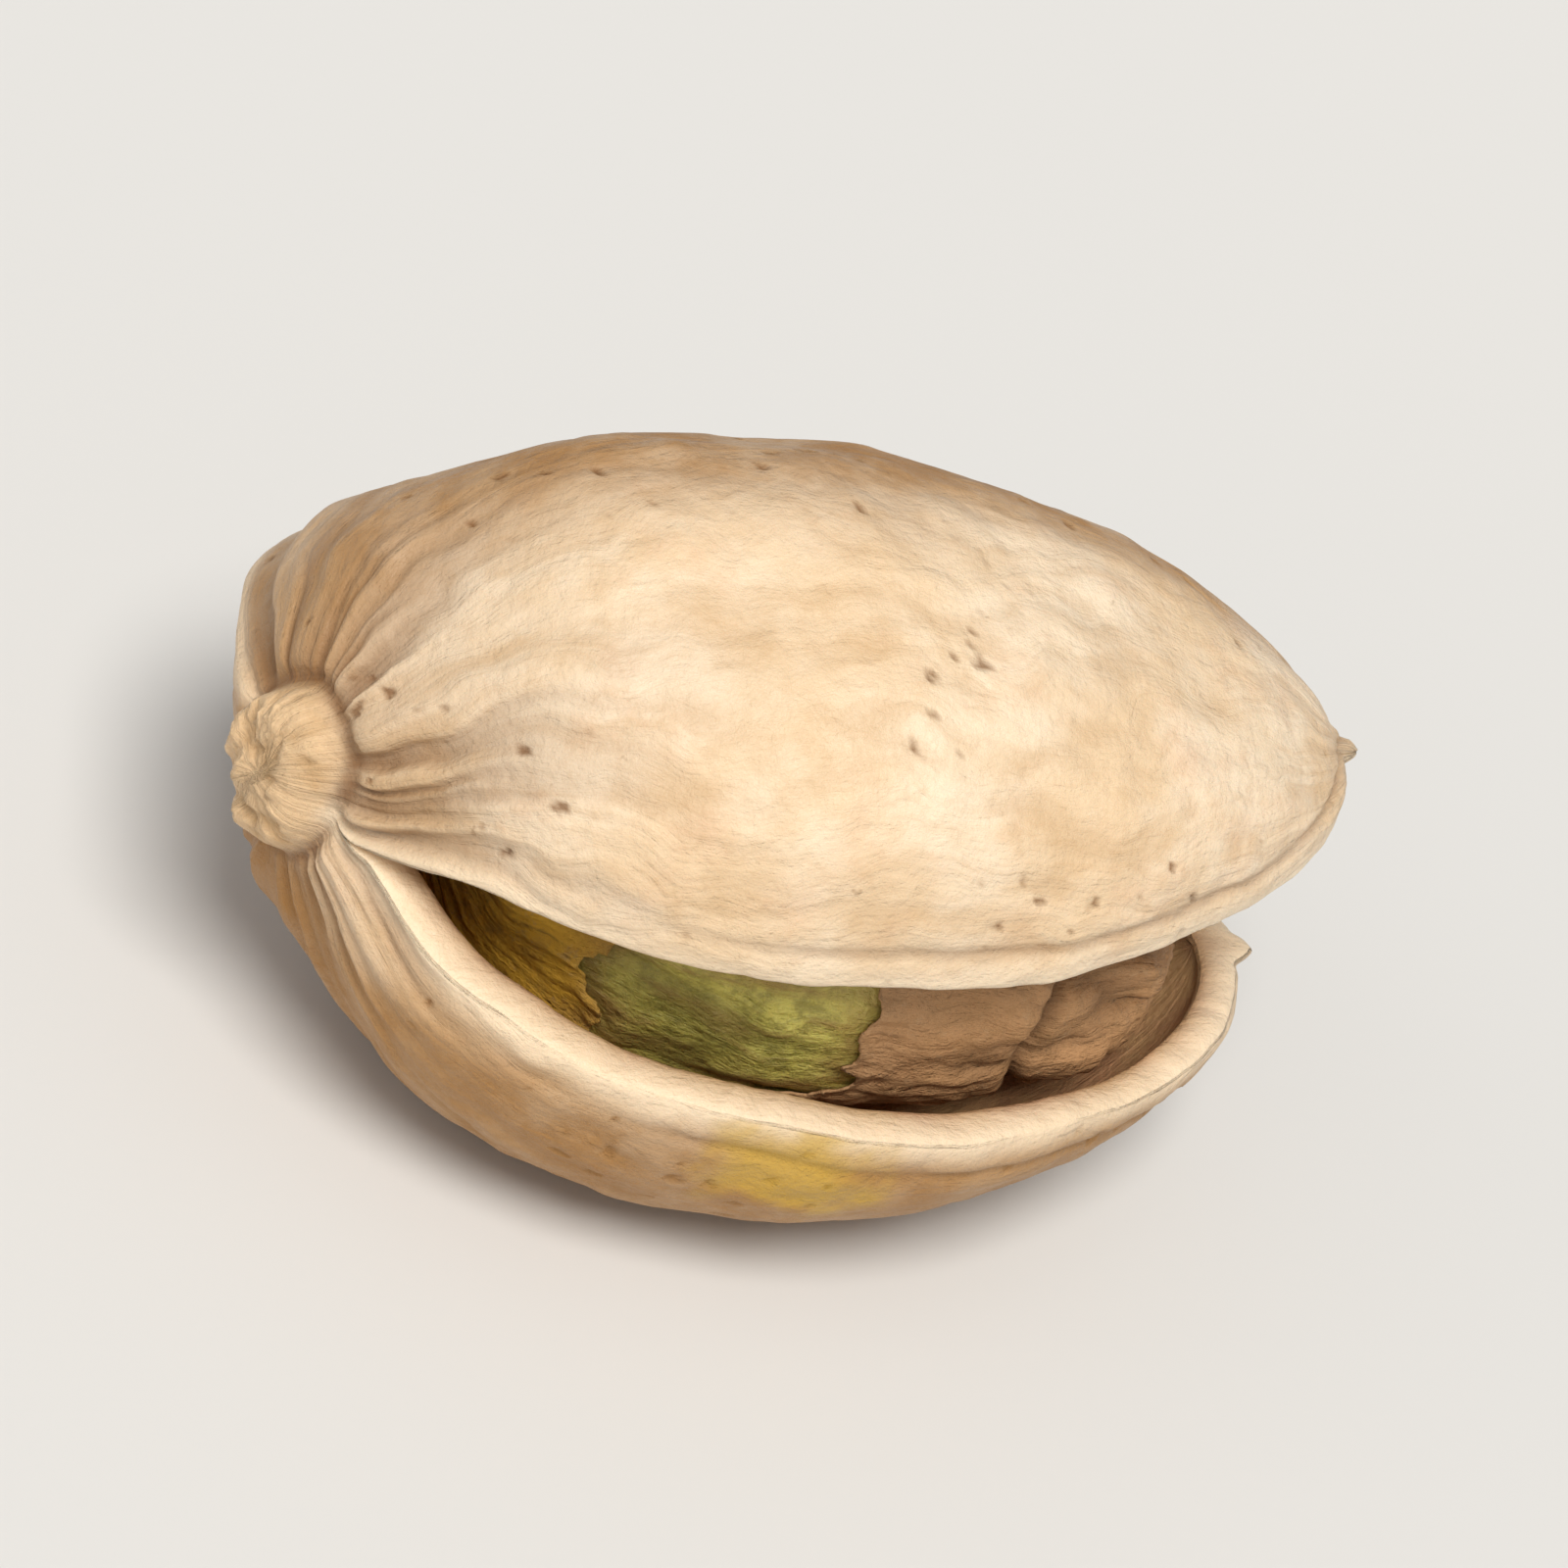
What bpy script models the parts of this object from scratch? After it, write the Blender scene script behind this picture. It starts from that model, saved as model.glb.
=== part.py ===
"""A half-open pistachio: the woody shell, the seed loose inside it and its torn papery coat.

The nut is shaped in its own axes: u runs from the stem scar to the beak, v from the belly
seam (-) to the back seam (+), and w away from the seam plane, with the upper valve at +w.
It is then laid on a small flat spot under its lower valve, seam plane level, with the middle
of the bottom of its box at the world origin and the beak towards +X. The split faces -Y.
"""

import math
from collections import namedtuple

import bmesh
import bpy
from mathutils import Matrix, Vector

MM = 0.001

# An egg is a closed round body: where it starts, its length, and its greatest half sizes
# towards the back seam, the belly seam and out of the seam plane.
Egg = namedtuple("Egg", "start length back belly depth back_keel belly_keel")

SHELL_OUTSIDE = Egg(0, 20.7 * MM, 7.4 * MM, 6.75 * MM, 5.9 * MM, 0.78, -0.24)
SHELL_INSIDE = Egg(1.3 * MM, 18.4 * MM, 6.3 * MM, 5.8 * MM, 4.95 * MM, 0.6, -0.1)
KERNEL = Egg(3.2 * MM, 15.5 * MM, 4.9 * MM, 4.8 * MM, 4.55 * MM, 0.25, 0.0)

# How an egg fills out from the stem (rise) and closes again at the beak (fall).
BACK_RISE, BACK_FALL = 0.466, 0.587
BELLY_RISE, BELLY_FALL = 0.445, 0.56
DEPTH_RISE, DEPTH_FALL = 0.39, 0.70
CREST_WIDTH = 1.4  # how broadly the back half runs into the belly half over the valve's crest
BASE_SLANT = 0.3  # the stem end leans, so its back shoulder stands past the scar
BEAK_DROP = 0.5 * MM  # the beak lies this far to the belly side of the scar

# The valves stay joined behind a slanted line across the stem end, and part beyond it.
JOIN_U, JOIN_V = 0.35 * MM, -1.6 * MM
JOIN_ANGLE = 1.2
LIP_LIFT, LIP_REACH = 1.05 * MM, 2.05 * MM  # each lip rises this much, this close to the join
GAPE_SLOPE, GAPE_START = 0.087, 1.0 * MM  # then each valve leans away at this slope

SCAR_HEIGHT = 0.6 * MM
SCAR_HALF_WIDTH, SCAR_HALF_HEIGHT = 1.55 * MM, 1.95 * MM
SCAR_SHIFT = 0.25 * MM  # towards the back seam
SCAR_END = 0.2  # the scar lies within this share of the length

KERNEL_SETTLE = 0.7  # the kernel lies in the lower valve, so it follows most of its lift

SKIN_GAP = 0.25 * MM
SKIN_THICKNESS = 0.15 * MM
TEAR_MIDDLE = Vector((-0.16, -0.96, 0.12))  # direction from the kernel's middle
TEAR_LENGTH, TEAR_HEIGHT = 0.36, 0.27  # half angles of the tear, in radians
TEAR_RAGGED = 0.1

FLAT_DEPTH = 0.16 * MM

RINGS, STEPS = 30, 22  # the shell's mesh along the nut, and across one valve
SEED_RINGS, SEED_STEPS = 20, 24


def profile(along, rise, fall):
    """0 at both ends and 1 at the widest place, with rounded ends."""
    widest = rise / (rise + fall)
    top = widest**rise * (1 - widest) ** fall
    return max(along, 0) ** rise * max(1 - along, 0) ** fall / top


def egg_point(egg, along, turn):
    """A point of an egg: along goes 0 to 1 from stem to beak, turn starts at the back seam."""
    side = math.cos(turn)
    share = min(max(0.5 + side / CREST_WIDTH, 0), 1)
    back = share**2 * (3 - 2 * share)
    reach = (back * egg.back * profile(along, BACK_RISE, BACK_FALL)
             + (1 - back) * egg.belly * profile(along, BELLY_RISE, BELLY_FALL))
    keel = back * egg.back_keel + (1 - back) * egg.belly_keel
    lens = 1 - 2 * abs(turn) / math.pi
    v = reach * ((1 - keel) * side + keel * lens)
    w = egg.depth * profile(along, DEPTH_RISE, DEPTH_FALL) * math.sin(turn)
    u = egg.start + egg.length * along - BASE_SLANT * v * (1 - along) ** 2
    return Vector((u, v - BEAK_DROP * along**2, w))


def ring_place(ring, rings):
    """Rings stand closer together towards the two ends."""
    return (1 - math.cos(math.pi * ring / rings)) / 2


def past_join(point):
    """How far a point lies past the line where the valves are joined."""
    return (point.x - JOIN_U) * math.sin(JOIN_ANGLE) - (point.y - JOIN_V) * math.cos(JOIN_ANGLE)


def lift(distance):
    """How far each valve has moved off the seam plane."""
    if distance <= 0:
        return 0.0
    gape = GAPE_SLOPE * distance**2 / (distance + GAPE_START)
    return gape + LIP_LIFT * (1 - math.exp(-((distance / LIP_REACH) ** 2)))


def scar_bulge(point):
    """How far the corky stem scar stands out of the shell."""
    across = (point.y - SCAR_SHIFT) / SCAR_HALF_WIDTH
    up = point.z / SCAR_HALF_HEIGHT
    return SCAR_HEIGHT * math.sqrt(max(0, 1 - across**2 - up**2))


def shell_point(inside, ring, step, valve):
    """A point of the shell. valve is 1 for the upper one, -1 for the lower one, 0 on the join."""
    along, turn = ring_place(ring, RINGS), math.pi * step / STEPS
    outer = egg_point(SHELL_OUTSIDE, along, turn)
    point = egg_point(SHELL_INSIDE, along, turn) if inside else outer.copy()
    if not inside and along < SCAR_END:
        point.x -= scar_bulge(point)
    point.z = valve * (point.z + lift(past_join(outer)))
    return point


def shell_key(inside, ring, step, valve):
    """Names one vertex, so that places where rings close or the valves are joined share it."""
    if ring in (0, RINGS):
        step = 0
    if step in (0, STEPS):
        edge = egg_point(SHELL_OUTSIDE, ring_place(ring, RINGS), math.pi * step / STEPS)
        if past_join(edge) <= 0:
            valve = 0
    return inside, ring, step, valve


def add_face(bm, vertices, place, keys):
    """Adds the face between these keys, unless it has closed up."""
    corners = []
    for key in keys:
        if key not in vertices:
            vertices[key] = bm.verts.new(place(*key))
        if vertices[key] not in corners:
            corners.append(vertices[key])
    if len(corners) > 2:
        bm.faces.new(corners)


def shell_mesh():
    """Both valves, inside and outside, with the lips between them where the nut has split."""
    bm = bmesh.new()
    vertices = {}
    for valve in (1, -1):
        for inside in (False, True):
            for ring in range(RINGS):
                for step in range(STEPS):
                    corners = [(ring, step), (ring + 1, step), (ring + 1, step + 1), (ring, step + 1)]
                    if inside == (valve > 0):
                        corners.reverse()
                    keys = [shell_key(inside, *corner, valve) for corner in corners]
                    add_face(bm, vertices, shell_point, keys)
        for step in (0, STEPS):
            for ring in range(RINGS):
                keys = [shell_key(False, ring, step, valve), shell_key(False, ring + 1, step, valve),
                        shell_key(True, ring + 1, step, valve), shell_key(True, ring, step, valve)]
                if any(key[3] for key in keys):
                    add_face(bm, vertices, shell_point, keys)
    bmesh.ops.recalc_face_normals(bm, faces=bm.faces)
    return bm


def seed_point(direction, outset):
    """The point of the kernel, grown by outset, in this direction from its middle."""
    egg = Egg(KERNEL.start - outset, KERNEL.length + 2 * outset, KERNEL.back + outset,
              KERNEL.belly + outset, KERNEL.depth + outset, KERNEL.back_keel, KERNEL.belly_keel)
    point = egg_point(egg, (1 + direction.x) / 2, math.atan2(direction.z, direction.y))
    point.z -= KERNEL_SETTLE * lift(past_join(point))
    return point


def kernel_mesh():
    """The seed, a ball drawn out into the kernel's shape."""
    bm = bmesh.new()
    bmesh.ops.create_uvsphere(bm, u_segments=SEED_STEPS, v_segments=SEED_RINGS, radius=1)
    bmesh.ops.rotate(bm, verts=bm.verts, matrix=Matrix.Rotation(math.pi / 2, 3, "Y"))
    for vertex in bm.verts:
        vertex.co = seed_point(vertex.co.normalized(), 0)
    bmesh.ops.recalc_face_normals(bm, faces=bm.faces)
    return bm


def skin_direction(ring, step):
    """Directions spread from the tear's ragged edge (ring 0) round to the far side of the seed."""
    turn = 2 * math.pi * step / SEED_STEPS
    edge = math.hypot(TEAR_LENGTH * math.cos(turn), TEAR_HEIGHT * math.sin(turn))
    edge *= 1 + TEAR_RAGGED * (math.sin(3 * turn) + math.sin(5 * turn + 1))
    away = edge + (math.pi - edge) * ring / SEED_RINGS
    middle = TEAR_MIDDLE.normalized()
    up = Vector((0, 0, 1)).cross(middle).cross(middle).normalized()
    along = middle.cross(up)
    return middle * math.cos(away) + (along * math.cos(turn) + up * math.sin(turn)) * math.sin(away)


def skin_point(outside, ring, step):
    outset = SKIN_GAP + (SKIN_THICKNESS if outside else 0)
    return seed_point(skin_direction(ring, step), outset)


def skin_mesh():
    """The seed coat: a thin wrap all round the kernel with one tear in it."""
    bm = bmesh.new()
    vertices = {}

    def key(outside, ring, step):
        return outside, ring, 0 if ring == SEED_RINGS else step % SEED_STEPS

    for outside in (False, True):
        for ring in range(SEED_RINGS):
            for step in range(SEED_STEPS):
                corners = [(ring, step), (ring + 1, step), (ring + 1, step + 1), (ring, step + 1)]
                add_face(bm, vertices, skin_point, [key(outside, *corner) for corner in corners])
    for step in range(SEED_STEPS):
        edge = [key(False, 0, step), key(False, 0, step + 1), key(True, 0, step + 1), key(True, 0, step)]
        add_face(bm, vertices, skin_point, edge)
    bmesh.ops.recalc_face_normals(bm, faces=bm.faces)
    return bm


def lay_down(meshes):
    """Flattens the spot the nut lies on and centres its box over the origin."""
    shell = meshes["shell"].verts
    floor = min(vertex.co.z for vertex in shell) + FLAT_DEPTH
    for vertex in shell:
        vertex.co.z = max(vertex.co.z, floor)
    middle = [(min(v.co[i] for v in shell) + max(v.co[i] for v in shell)) / 2 for i in (0, 1)]
    shift = Matrix.Translation((-middle[0], -middle[1], -floor))
    for bm in meshes.values():
        bmesh.ops.transform(bm, matrix=shift, verts=bm.verts)


def material(name, colour, roughness):
    made = bpy.data.materials.new(name)
    made.use_nodes = True
    shader = made.node_tree.nodes["Principled BSDF"]
    shader.inputs["Base Color"].default_value = (*colour, 1)
    shader.inputs["Roughness"].default_value = roughness
    shader.inputs["Metallic"].default_value = 0
    return made


def add_object(name, bm, finish):
    mesh = bpy.data.meshes.new(name)
    bm.to_mesh(mesh)
    bm.free()
    mesh.materials.append(finish)
    mesh.shade_smooth()
    mesh.set_sharp_from_angle(angle=math.radians(50))
    bpy.context.scene.collection.objects.link(bpy.data.objects.new(name, mesh))


def main():
    for old in list(bpy.data.objects):
        bpy.data.objects.remove(old)
    meshes = {"shell": shell_mesh(), "kernel": kernel_mesh(), "skin": skin_mesh()}
    finishes = {
        "shell": material("dry_shell", (0.78, 0.58, 0.36), 0.6),
        "kernel": material("green_seed", (0.33, 0.36, 0.07), 0.55),
        "skin": material("papery_coat", (0.24, 0.12, 0.06), 0.7),
    }
    lay_down(meshes)
    for name, bm in meshes.items():
        add_object(name, bm, finishes[name])


main()
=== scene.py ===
"""Looks of a half-open pistachio lying on its side: a ribbed woody shell, its seed and torn coat.

Lengths are in metres, unless a comment says millimetres. The nut is shaped in its own axes: u
runs from the stem scar to the beak, v from the belly seam (-) to the back seam (+), and w away
from the seam plane, with the upper valve at +w. It is then seated where the frame's nut lies.
"""

import math
from collections import namedtuple

import bmesh
import bpy
import numpy as np
from bpy.props import FloatProperty, FloatVectorProperty, IntProperty, PointerProperty
from mathutils import Matrix, Vector, noise


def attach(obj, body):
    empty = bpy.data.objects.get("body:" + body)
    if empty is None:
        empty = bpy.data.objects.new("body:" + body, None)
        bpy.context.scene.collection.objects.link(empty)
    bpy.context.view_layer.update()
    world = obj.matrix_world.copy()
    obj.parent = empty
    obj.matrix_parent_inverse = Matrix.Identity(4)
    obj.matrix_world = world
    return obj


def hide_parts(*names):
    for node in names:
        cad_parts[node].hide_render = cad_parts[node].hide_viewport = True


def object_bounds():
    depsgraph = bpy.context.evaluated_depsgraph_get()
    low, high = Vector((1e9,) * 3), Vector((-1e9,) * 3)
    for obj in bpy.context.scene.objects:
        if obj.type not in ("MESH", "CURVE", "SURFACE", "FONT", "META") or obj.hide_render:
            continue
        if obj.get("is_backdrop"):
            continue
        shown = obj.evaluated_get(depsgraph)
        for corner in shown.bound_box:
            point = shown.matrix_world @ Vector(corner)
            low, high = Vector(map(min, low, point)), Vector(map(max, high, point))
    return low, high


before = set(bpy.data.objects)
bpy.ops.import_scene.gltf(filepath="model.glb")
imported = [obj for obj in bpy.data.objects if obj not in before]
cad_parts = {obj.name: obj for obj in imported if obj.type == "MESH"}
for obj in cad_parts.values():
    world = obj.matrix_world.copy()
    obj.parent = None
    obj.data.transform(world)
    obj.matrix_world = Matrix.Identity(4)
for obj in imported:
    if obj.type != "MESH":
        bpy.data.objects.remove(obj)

bl_info = {
    "name": "Half-open pistachio",
    "version": (1, 0, 0),
    "blender": (4, 5, 0),
    "location": "3D View > Sidebar > Pistachio",
    "description": "Builds a pistachio in its split shell with its seed and torn seed coat",
    "category": "Add Mesh",
}

MM = 0.001

# An egg is a closed round body: where it starts, its length, and its greatest half sizes
# towards the back seam, the belly seam and out of the seam plane.
Egg = namedtuple("Egg", "start length back belly depth back_keel belly_keel")

SHELL_OUTSIDE = Egg(0, 20.7 * MM, 7.4 * MM, 6.75 * MM, 5.9 * MM, 0.78, -0.24)
SHELL_INSIDE = Egg(1.2 * MM, 18.65 * MM, 6.5 * MM, 5.95 * MM, 5.05 * MM, 0.64, -0.14)
KERNEL = Egg(3.2 * MM, 15.5 * MM, 4.9 * MM, 4.8 * MM, 4.55 * MM, 0.25, 0.0)

# How an egg fills out from the stem (first) and closes again at the beak (second).
BACK_FULLNESS = 0.466, 0.587
BELLY_FULLNESS = 0.445, 0.56
DEPTH_FULLNESS = 0.39, 0.70
CREST_WIDTH = 1.4  # how broadly the back half runs into the belly half over the valve's crest
BASE_SLANT = 0.3  # the stem end leans, so its back shoulder stands past the scar
BEAK_DROP = 0.5 * MM  # the beak lies this far to the belly side of the scar
SHOULDER = 1.15 * MM  # how much the back swells out beside the stem

# The valves stay joined behind a slanted line across the stem end, and part beyond it.
JOIN_U, JOIN_V = 0.35 * MM, -1.6 * MM
JOIN_ANGLE = 1.2
LIP_LIFT, LIP_REACH = 1.05 * MM, 2.05 * MM  # each lip rises this much, this close to the join
GAPE_SLOPE, GAPE_START = 0.087, 1.0 * MM  # then each valve leans away at this slope
KERNEL_SETTLE = 0.7  # the seed lies in the lower valve, so it follows most of its lift
FLAT_DEPTH = 0.16 * MM  # the nut rests on a flat worn this far into its underside
BACK_SEAM, BELLY_SEAM = 0, -1  # the columns of a valve's grid that lie on its seams

SCAR_HEIGHT = 0.6 * MM
SCAR_HALF_WIDTH, SCAR_HALF_HEIGHT = 1.3 * MM, 1.75 * MM
SCAR_SHIFT = 0.25 * MM  # towards the back seam
SCAR_LIMIT = 4 * MM  # the scar lies nearer the stem end than this
NO_SCAR = 9  # a radius that stands for well away from the scar

# The middle and the width, for bell(), of what runs along the back seam, along the belly seam
# and, in scar radii, round the scar.
KEEL, KEEL_HOLLOW, KEEL_TINT = (0, 0.36 * MM), (1.0 * MM, 0.35 * MM), (0, 0.28 * MM)
LIP_LINE, LIP_TINT = (0.8 * MM, 0.13 * MM), (0, 0.36 * MM)
SCAR_FURROW, SCAR_SHADOW = (1.18, 0.15), (1.16, 0.13)

LIP_BAND = 0.5 * MM, 0.75 * MM  # the raised band along the belly lip ends between these
UNDERSIDE_SHADE = 1.0 * MM, 3.0 * MM  # painted shade: below the seam plane, the lower valve's outside darkens between these
BEAK_WIDTH = 0.42 * MM
STEM_REACH = 4.6  # millimetres over which the stem end's ribs and tan fade away
STAIN_U, STAIN_DROP, STAIN_REACH = 9.4 * MM, 1.1 * MM, 1.5 * MM

# In millimetres, in the nut's own axes: a round crevice in the seed's beak end, and the tear.
CREVICE_U, CREVICE_W, CREVICE_RADIUS, CREVICE_WIDTH = 16.6, -0.3, 2.1, 0.22
TEAR_U, TEAR_W, TEAR_HALF_LENGTH, TEAR_HALF_HEIGHT = 8.3, -1.5, 2.5, 2.2
CALM_TIP = 0.99, 0.87  # folds and wrinkles calm down between these, towards the seed's tip

GIRTH = 6.0  # millimetres: the radius at which the grain's coordinates are wrapped round
ROUGHENING, OCTAVE_STEP = 0.9, 2.1  # how fast finer noise fades, and how much finer each layer is
LEAST_LENGTH = 1e-12  # keeps a normal that has shrunk to nothing from being divided by 0
WAVE_SHIFT = 7 * MM  # sets the wander of one valve's lip apart from the other's
EDGE_ROUNDS = 4  # how often the coat's torn edges are evened out


# ---------------------------------------------------------------- shape of the nut


def smooth(low, high, value):
    """0 below low, 1 above high, and a smooth rise between them."""
    share = np.clip((value - low) / (high - low), 0, 1)
    return share**2 * (3 - 2 * share)


def bell(value, middle, width):
    """A smooth hump of height 1."""
    return np.exp(-(((value - middle) / width) ** 2))


def profile(along, rise, fall):
    """0 at both ends and 1 at the widest place, with rounded ends."""
    widest = rise / (rise + fall)
    top = widest**rise * (1 - widest) ** fall
    return np.clip(along, 0, 1) ** rise * np.clip(1 - along, 0, 1) ** fall / top


def egg_surface(egg, along, turn):
    """Points of an egg: along goes 0 to 1 from stem to beak, turn starts at the back seam."""
    side = np.cos(turn)
    back = smooth(0, 1, 0.5 + side / CREST_WIDTH)
    reach = back * egg.back * profile(along, *BACK_FULLNESS)
    reach = reach + (1 - back) * egg.belly * profile(along, *BELLY_FULLNESS)
    keel = back * egg.back_keel + (1 - back) * egg.belly_keel
    lens = 1 - 2 * np.abs(turn) / math.pi
    v = reach * ((1 - keel) * side + keel * lens)
    w = egg.depth * profile(along, *DEPTH_FULLNESS) * np.sin(turn)
    u = egg.start + egg.length * along - BASE_SLANT * v * (1 - along) ** 2
    return np.stack([u, v - BEAK_DROP * along**2, w], -1)


def past_join(points):
    """How far points lie past the line where the valves are joined."""
    across = (points[..., 0] - JOIN_U) * math.sin(JOIN_ANGLE)
    return across - (points[..., 1] - JOIN_V) * math.cos(JOIN_ANGLE)


def lift(distance):
    """How far each valve has moved off the seam plane."""
    distance = np.maximum(distance, 0)
    gape = GAPE_SLOPE * distance**2 / (distance + GAPE_START)
    return gape + LIP_LIFT * (1 - np.exp(-((distance / LIP_REACH) ** 2)))


def seat():
    """The move from the nut's own axes to where the frame's nut lies."""
    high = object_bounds()[1]
    along = np.linspace(0, 1, 400)
    back_reach = egg_surface(SHELL_OUTSIDE, along, np.zeros_like(along))[:, 1].max()
    return np.array([high.x - SHELL_OUTSIDE.length, high.y - back_reach, (high.z - FLAT_DEPTH) / 2])


SEAT = seat()


def surface_normals(points):
    """Outward unit normals of a grid of points whose first and last rows each close to a pole."""
    normals = np.cross(np.gradient(points, axis=1), np.gradient(points, axis=0))
    inner = normals[1:-1]
    middle = points.reshape(-1, 3).mean(0)
    if ((points[1:-1] - middle) * inner).sum() < 0:
        normals = -normals
    normals[0], normals[-1] = normals[1].mean(0), normals[-2].mean(0)
    lengths = np.linalg.norm(normals, axis=-1, keepdims=True)
    return normals / np.maximum(lengths, LEAST_LENGTH)


def clouds(points, scale, detail, shift):
    """Smooth noise between about -1 and 1 at these points, with scale features a millimetre."""
    flat = points.reshape(-1, 3) * (scale / MM) + shift
    values = [noise.fractal(p, ROUGHENING, OCTAVE_STEP, detail) for p in flat.tolist()]
    return np.array(values).reshape(points.shape[:-1])


def grain_coordinates(points, angle):
    """Coordinates that run with the grain: two wrapped round the nut and one along it, in mm."""
    return np.stack([GIRTH * np.cos(angle), GIRTH * np.sin(angle), points[..., 0] / MM], -1)


def along_grain(grain, around, lengthwise, detail, shift):
    """Noise drawn out along the grain: features a millimetre round the nut, and along it."""
    scaled = grain * np.array([around, around, lengthwise]) * MM
    return clouds(scaled, 1.0, detail, shift)


def narrow_lines(values, sharpness):
    """Narrow lines of height 1 where smooth noise passes through 0."""
    return 1 - np.minimum(np.abs(values) * sharpness, 1)


def nut_grid(rings, steps, first_turn, last_turn):
    """A grid of places from stem to beak, closest at both ends, and of turns round the nut."""
    ring = np.arange(rings + 1)[:, None]
    step = np.arange(steps + 1)[None, :]
    along = (1 - np.cos(np.pi * ring / rings)) / 2 + 0 * step
    turn = (last_turn - first_turn) * step / steps + first_turn + 0 * ring
    return along, turn


# ---------------------------------------------------------------- meshes from grids


class Patchwork:
    """Gathers grids of points into one mesh, with vertex values that the materials read."""

    def __init__(self):
        self.points, self.faces, self.values, self.size = [], [], {}, 0

    def add(self, points, **values):
        """Adds a grid of points and returns their numbers in the same grid."""
        count = int(np.prod(points.shape[:-1]))
        numbers = np.arange(self.size, self.size + count).reshape(points.shape[:-1])
        self.points.append(points.reshape(-1, 3))
        for name, value in values.items():
            wide = np.broadcast_to(value, points.shape[:-1] + np.shape(value)[points.ndim - 1:])
            self.values.setdefault(name, []).append((self.size, wide.reshape(count, -1)))
        self.size += count
        return numbers

    def cover(self, numbers):
        """Covers a grid of numbered points with faces, leaving out those that have closed up."""
        corners = [numbers[:-1, :-1], numbers[1:, :-1], numbers[1:, 1:], numbers[:-1, 1:]]
        for face in np.stack(corners, -1).reshape(-1, 4).tolist():
            kept = list(dict.fromkeys(face))
            if len(kept) > 2:
                self.faces.append(kept)

    def object(self, name):
        """The finished object, without unused points, seated on the frame."""
        points = np.concatenate(self.points) + SEAT
        used = np.zeros(self.size, bool)
        used[[corner for face in self.faces for corner in face]] = True
        order = np.cumsum(used) - 1
        mesh = bpy.data.meshes.new(name)
        faces = [[int(order[corner]) for corner in face] for face in self.faces]
        mesh.from_pydata(points[used].tolist(), [], faces)
        for key, parts in self.values.items():
            width = parts[0][1].shape[1]
            filled = np.zeros((self.size, width))
            for start, part in parts:
                filled[start:start + len(part)] = part
            kind = "FLOAT" if width == 1 else "FLOAT_VECTOR"
            attribute = mesh.attributes.new(key, kind, "POINT")
            field = "value" if width == 1 else "vector"
            attribute.data.foreach_set(field, filled[used].astype(np.float32).ravel())
        bm = bmesh.new()
        bm.from_mesh(mesh)
        bmesh.ops.recalc_face_normals(bm, faces=bm.faces)
        bm.to_mesh(mesh)
        bm.free()
        mesh.shade_smooth()
        made = bpy.data.objects.new(name, mesh)
        bpy.context.scene.collection.objects.link(made)
        return made


def close_poles(numbers):
    """Draws the first and the last row of a grid together, each to one point."""
    numbers[0], numbers[-1] = numbers[0, 0], numbers[-1, 0]


# ---------------------------------------------------------------- shell


def scar_radius(points):
    """1 on the edge of the stem scar's oval, less inside it."""
    across = (points[..., 1] - SCAR_SHIFT) / SCAR_HALF_WIDTH
    radius = np.hypot(across, points[..., 2] / SCAR_HALF_HEIGHT)
    radius = radius + 0.16 * clouds(points, scale=0.5, detail=2, shift=70.0)
    return np.where(points[..., 0] < SCAR_LIMIT, radius, NO_SCAR)


def yellow_stain(spot, from_belly, valve):
    """A yellow stain on the lower valve, halfway along under its belly lip."""
    if valve > 0:
        return 0 * from_belly
    away = np.hypot(0.75 * (spot[..., 0] - STAIN_U), from_belly - STAIN_DROP) / STAIN_REACH
    return 1 - smooth(0.5, 1.2, away + 0.5 * clouds(spot, scale=0.8, detail=3, shift=51.0))


def swell_shoulder(points, along, turn):
    """Fills out the back of a valve beside the stem."""
    back = np.clip(np.cos(turn), 0, 1) ** 0.7
    amount = SHOULDER * smooth(0, 0.06, along) * bell(along, 0.12, 0.15)
    points[..., 1] += amount * back
    points[..., 2] += 0.7 * amount * np.sin(turn) * smooth(-0.4, 0.6, np.cos(turn))
    return points


def valve_rise(settings, valve, along, turn):
    """How far a valve has moved off the seam plane, with lips that wander a little."""
    plain = egg_surface(SHELL_OUTSIDE, along, turn)
    rise = lift(past_join(plain)) * (settings.upper_gape if valve > 0 else 1)
    flat = plain * np.array([1, 1, 0]) + valve * WAVE_SHIFT
    wave = clouds(flat, scale=0.28, detail=3, shift=3.0)
    return rise + settings.lip_wave * wave * smooth(0, 1.5 * MM, rise)


def back_own_tan_and_shade(along, turn, swell):
    """How far the back of the shell darkens, in clouds, less so at the beak: partly its own tan
    near the keel, partly painted shade.
    """
    facing = np.cos(turn) * smooth(1.0, 0.78, along) + 0.15 * swell
    return smooth(-0.2, 0.45, facing) * (1 - 0.3 * smooth(0.6, 1.0, facing))


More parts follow.
